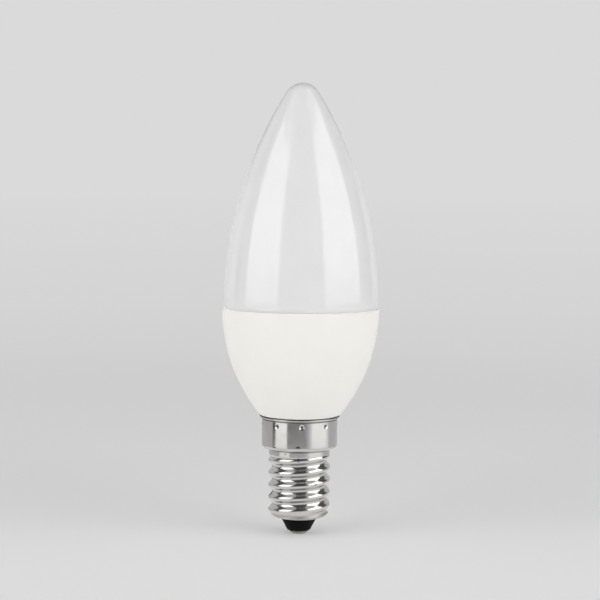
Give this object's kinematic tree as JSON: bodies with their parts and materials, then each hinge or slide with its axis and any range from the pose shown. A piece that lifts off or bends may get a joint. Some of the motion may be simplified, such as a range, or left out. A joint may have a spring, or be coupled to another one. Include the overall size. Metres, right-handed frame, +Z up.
{
  "type": "candle bulb",
  "caption": "Candle-shaped LED lamp: a pointed opal cover on a white tapered housing, with a small nickel screw cap, a black insulator and a centre contact.",
  "frame": {"origin": "middle of the centre contact's flat end face, at the lower end of the lamp", "axes": "+Z up the lamp's axis from the contact to the tip of the cover, -Y towards the viewer of the picture, +X to the viewer's right"},
  "size_m": [0.0352, 0.0352, 0.1014],
  "materials": {
    "opal_cover": "glossy opal white",
    "white_housing": "satin white, slightly warm",
    "nickel_cap": "bright nickel plate on brass sheet",
    "black_insulator": "black, slightly glossy",
    "nickel_contact": "nickel plate",
    "white_metal_board": "white coated aluminium",
    "led_package": "white frame with a yellow window",
    "green_board": "green circuit board",
    "tinned_metal": "tinned",
    "black_package": "matt black",
    "grey_ferrite": "matt dark grey",
    "dark_sleeve": "shrink sleeve, dark",
    "grey_resistor": "matt grey-green"
  },
  "bodies": {
    "root": {"diffuser_cover": "opal_cover", "housing": "white_housing", "screw_shell": "nickel_cap", "base_insulator": "black_insulator", "centre_contact": "nickel_contact", "led_board": "white_metal_board", "led_1": "led_package", "led_2": "led_package", "led_3": "led_package", "led_4": "led_package", "led_5": "led_package", "led_6": "led_package", "led_7": "led_package", "led_8": "led_package", "driver_board": "green_board", "board_pin_left": "tinned_metal", "board_pin_right": "tinned_metal", "driver_chip": "black_package", "bridge_rectifier": "black_package", "choke": "grey_ferrite", "filter_capacitor": "dark_sleeve", "fuse_resistor": "grey_resistor", "shell_lead": "tinned_metal"}
  },
  "joints": []
}
